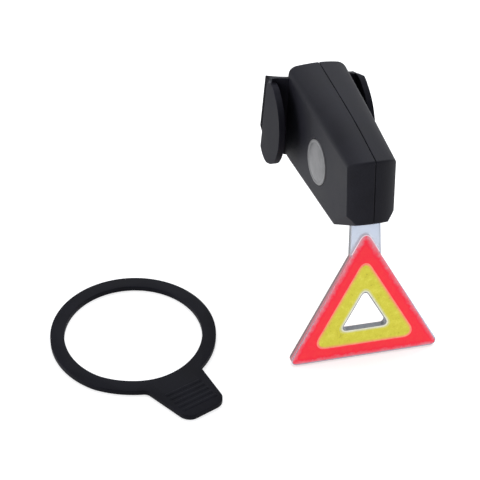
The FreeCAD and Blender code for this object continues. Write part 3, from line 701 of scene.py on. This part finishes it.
def ink_layer(name, slot, material, depth, outside, inside, *stands_for, lowest=None):
    """Thin band of ink, or of the painted highlight round the hole, between two triangles, on the plate's
    face at a depth.
    """
    layer = bmesh.new()
    loops = triangle_loop(layer, **outside) + triangle_loop(layer, **inside)
    bmesh.ops.bridge_loops(layer, edges=loops)
    if lowest is not None:
        bmesh.ops.bisect_plane(layer, geom=whole(layer), plane_co=(0, 0, lowest), plane_no=(0, 0, 1),
                               clear_inner=True)
    grown = bmesh.ops.extrude_face_region(layer, geom=layer.faces[:])["geom"]
    raised = [part for part in grown if isinstance(part, bmesh.types.BMVert)]
    bmesh.ops.translate(layer, verts=raised, vec=(0, ink_thickness, 0))
    bmesh.ops.translate(layer, verts=layer.verts, vec=(0, depth, 0))
    guide_place = Matrix.Translation(guide_entry) @ Matrix.Rotation(guide_lean, 4, "X")
    bmesh.ops.transform(layer, matrix=guide_place, verts=layer.verts)
    bmesh.ops.recalc_face_normals(layer, faces=layer.faces)
    make_piece(name, layer, material, slot, "housing", *stands_for)


red_ink = red_finish()
salmon_ink = ink_and_highlight_finish("salmon_ink", salmon_tones)
yellow_ink = yellow_finish()
painted_hole_highlight_fade = ink_and_highlight_finish("painted_hole_highlight_fade", hole_highlight_fade_tones)
painted_hole_highlight = ink_and_highlight_finish("painted_hole_highlight", hole_highlight_tones)
tip_ink = ink_and_highlight_finish("tip_ink", tip_tones)
for face, depth, node_end in (("front", -ink_thickness, ""), ("back", guide_thickness, "_back")):
    ink_layer("red_border_" + face, "red_ink", red_ink, depth, red_outside, lap_outside,
              "red_print" + node_end)
    ink_layer("ink_lap_" + face, "red_ink", salmon_ink, depth, lap_outside, yellow_outside)
    ink_layer("yellow_triangle_" + face, "yellow_ink", yellow_ink, depth, yellow_outside, fade_outside,
              "yellow_print" + node_end)
    # Painted highlight round the hole: the lit clear strip there, painted as a pale band that fades into
    # the yellow.
    ink_layer("pale_fade_" + face, "yellow_ink", painted_hole_highlight_fade, depth, fade_outside, pale_outside)
    ink_layer("pale_line_" + face, "yellow_ink", painted_hole_highlight, depth, pale_outside, pale_inside)
    ink_layer("tip_line_" + face, "red_ink", tip_ink, depth, tip_outside, red_outside, lowest=tip_foot)


# Housing: two halves of matt black plastic with a spark-eroded skin, parted along the middle.
# A thin rubber cord fills the joint, a little below the skin.
housing_dark = (0.0062, 0.0062, 0.0094)
housing_light = (0.0112, 0.0112, 0.0162)
housing_edge = 0.5 * mm
housing_plastic = moulded("housing_plastic", housing_dark, housing_light, roughness=0.56, specular=0.11,
                          edge=housing_edge)
dress(nodes["left_shell"], housing_plastic)
dress(nodes["right_shell"], housing_plastic)
dress(nodes["seam_gasket"], seal_rubber)


# Housing screws: three more plated steel screws, longer than those of the bracket.
# They are driven from the right and pull the two halves together.
shell_screw_length = 11 * mm
shell_seats = ((6.655, -71.35, 15.5), (7.248, -57.75, -6.9), (8.502, -29.0, -9.5))
head_to_right = Matrix.Rotation(quarter_turn, 4, "Y")
screw_set("shell_screw_set", "shell_screws", shell_screw_length, shell_seats, head_to_right)


# Push button: an oval cap of grey translucent rubber in the left side, level with the skin.
# It is moulded with a low lip round its domed face. It sits in a hole of the left half, and
# moves in to press the switch behind it.
button_dark = (0.085, 0.085, 0.088)
button_light = (0.155, 0.155, 0.158)
button_middle = Vector((-8.905, -48.41, 4.3)) * mm
side_taper = 0.04364
cap_half_long = 8.85
cap_half_short = 7.55
cap_turn = math.radians(138)
cap_back = 2.0 * mm
cap_thickness = 2.1 * mm
nearly_flat = 0.9
lip_steps = ((0.2, 0.18), (0.5, 0.02), (0.3, -0.16), (0.3, 0.06))
dome_steps = ((1.0, 0.1), (1.6, 0.06), (1.8, 0.03))
button_inward = Vector((1, side_taper, 0)).normalized()
button_along = Vector((-side_taper, 1, 0)).normalized()
button_frame = Matrix((button_along, (0, 0, 1), button_inward)).transposed().to_4x4()
button = bmesh.new()
oval = Matrix.Rotation(cap_turn, 4, "Z") @ Matrix.Diagonal((cap_half_long, cap_half_short, 1, 1))
bmesh.ops.create_circle(button, cap_ends=True, segments=96, radius=mm, matrix=oval)
grown = bmesh.ops.extrude_face_region(button, geom=button.faces[:])["geom"]
front_verts = [part for part in grown if isinstance(part, bmesh.types.BMVert)]
bmesh.ops.translate(button, verts=front_verts, vec=(0, 0, -cap_thickness))
bmesh.ops.translate(button, verts=button.verts, vec=(0, 0, cap_back))
bmesh.ops.recalc_face_normals(button, faces=button.faces)
front = [face for face in button.faces if face.normal.z < -nearly_flat]
for width, rise in lip_steps + dome_steps:
    bmesh.ops.inset_region(button, faces=front, thickness=width * mm, depth=rise * mm,
                           use_boundary=True)
bmesh.ops.transform(button, matrix=Matrix.Translation(button_middle) @ button_frame,
                    verts=button.verts)
bmesh.ops.recalc_face_normals(button, faces=button.faces)
button_rubber = moulded("button_rubber", button_dark, button_light, roughness=0.42, specular=0.3,
                        grain=700, depth=0.02 * mm, edge=0.15 * mm)
make_piece("push_button", button, button_rubber, "button_rubber", "button", "button_cap")


# Strap: a ring of black rubber with a pull tab, moulded in one, with ribs for the fingers.
# It hooks over both ears and goes round the post. In the photograph it lies unhooked beside
# the light, with its tab bent a little to one side.
strap_dark = (0.0024, 0.0024, 0.0042)
strap_light = (0.0062, 0.0064, 0.0098)
strap_thickness = 1.8 * mm
strap_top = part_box("strap")[0].z + strap_thickness
strap_edge = 0.28 * mm
ring_middle = Vector((-72.0, -60.7)) * mm
ring_radius = 27.25 * mm
tab_reach = 43.3 * mm
tab_direction = math.radians(-68)
tab_bend = math.radians(-2.1)
tab_spread = math.radians(30)
tab_shorter = 1.15 * mm
root_narrower = 0.05
end_narrower = 0.07
rib_share = 0.42
along_tab = Vector((math.cos(tab_direction), math.sin(tab_direction)))
across_tab = Vector((along_tab.y, -along_tab.x))


def share_of(value):
    """A value kept between 0 and 1."""
    return min(1, max(0, value))


# The ribs sink a little, and the tab gets shorter, narrower on its left, and turned. The turn is
# whole within one spread of the tab's direction and fades to none at two.
strap = cad_copy("strap")
for vert in strap.verts:
    if vert.co.z > strap_top:
        vert.co.z = strap_top + (vert.co.z - strap_top) * rib_share
    arm = vert.co.xy - ring_middle
    aside = abs(math.atan2(arm.y, arm.x) - tab_direction)
    near = share_of(2 - aside / tab_spread)
    rooted = share_of((tab_reach - arm.length) / (tab_reach - ring_radius))
    out = share_of((arm.dot(along_tab) - ring_radius) / (tab_reach - ring_radius))
    left = max(0, arm.dot(across_tab))
    narrower = left * (root_narrower + end_narrower * out) * near
    arm -= along_tab * tab_shorter * out + across_tab * narrower
    arm.rotate(Matrix.Rotation(tab_bend * near * rooted, 2))
    vert.co.xy = ring_middle + arm
soften(strap, sharp_edges(strap, turn=60), strap_edge, segments=3)
strap_rubber = moulded("strap_rubber", strap_dark, strap_light, roughness=0.5, specular=0.05)
make_piece("rubber_strap", strap, strap_rubber, "strap_rubber", "strap", "strap")


# Floor: a plain pale sheet just below the strap and the triangle's foot.
# It glows a little, as a lit studio table does, so that it is as bright as the photograph's.
floor_half = 4
floor_gap = 0.05 * mm
floor_dark = (0.61, 0.61, 0.615)
floor_light = (0.63, 0.63, 0.63)


def floor_finish():
    cloud_scale = 2
    material, start = start_finish("pale_floor")
    cloud = start.noise(cloud_scale)
    close_finish(start.node("BsdfPrincipled", inputs={
        "Base Color": cloud.colours((0.3, floor_dark), (0.7, floor_light)), "Roughness": 0.9,
        "Emission Color": (1, 1, 1, 1), "Emission Strength": 0.5}))
    return material


floor_shape = bmesh.new()
bmesh.ops.create_grid(floor_shape, x_segments=2, y_segments=2, size=floor_half,
                      matrix=Matrix.Translation((0, 0, cad_box[0].z - floor_gap)))
floor_mesh = bpy.data.meshes.new("floor")
floor_shape.to_mesh(floor_mesh)
floor_shape.free()
floor = bpy.data.objects.new("floor", floor_mesh)
bpy.context.scene.collection.objects.link(floor)
dress(floor, floor_finish())


# Lights: a large soft square high above the right rear, and a small one low on the left.
# A white sky fills the shadows.
light_aim = Vector((0, -0.04, 0))
light_colour = (0.93, 0.95, 1.0)
sky_strength = 0.7


def soft_light(name, place, size, power):
    light = bpy.data.lights.new(name, "AREA")
    light.shape = "SQUARE"
    light.size = size
    light.energy = power
    light.color = light_colour
    lamp = bpy.data.objects.new(name, light)
    lamp.location = place
    lamp.rotation_mode = "QUATERNION"
    lamp.rotation_quaternion = (light_aim - Vector(place)).to_track_quat("-Z", "Y")
    bpy.context.scene.collection.objects.link(lamp)


soft_light("top_light", place=(0.22, 0.4, 0.7), size=1.1, power=8.5)
soft_light("left_light", place=(-0.75, 0.05, 0.15), size=0.4, power=2.4)
world = bpy.data.worlds.new("studio")
bpy.context.scene.world = world
world.use_nodes = True
sky = world.node_tree.nodes["Background"]
sky.inputs["Color"].default_value = (1, 1, 1, 1)
sky.inputs["Strength"].default_value = sky_strength


# Camera: at the photograph's viewing angle, from above and to the left of the front.
# Its three axes are the columns of the turn.
camera_place = (-0.12759, -0.39309, 0.27156)
camera_turn = Matrix((
    (0.97051, 0.13008, -0.20294), (-0.23916, 0.62474, -0.7433), (0.0301, 0.76992, 0.63743)))
lens = bpy.data.cameras.new("camera")
lens.sensor_width = 36
lens.lens = 105
lens.clip_start = 0.01
camera = bpy.data.objects.new("camera", lens)
camera.location = camera_place
camera.rotation_mode = "QUATERNION"
camera.rotation_quaternion = camera_turn.to_quaternion()
bpy.context.scene.collection.objects.link(camera)
bpy.context.scene.camera = camera
bpy.context.scene.view_settings.view_transform = "Standard"
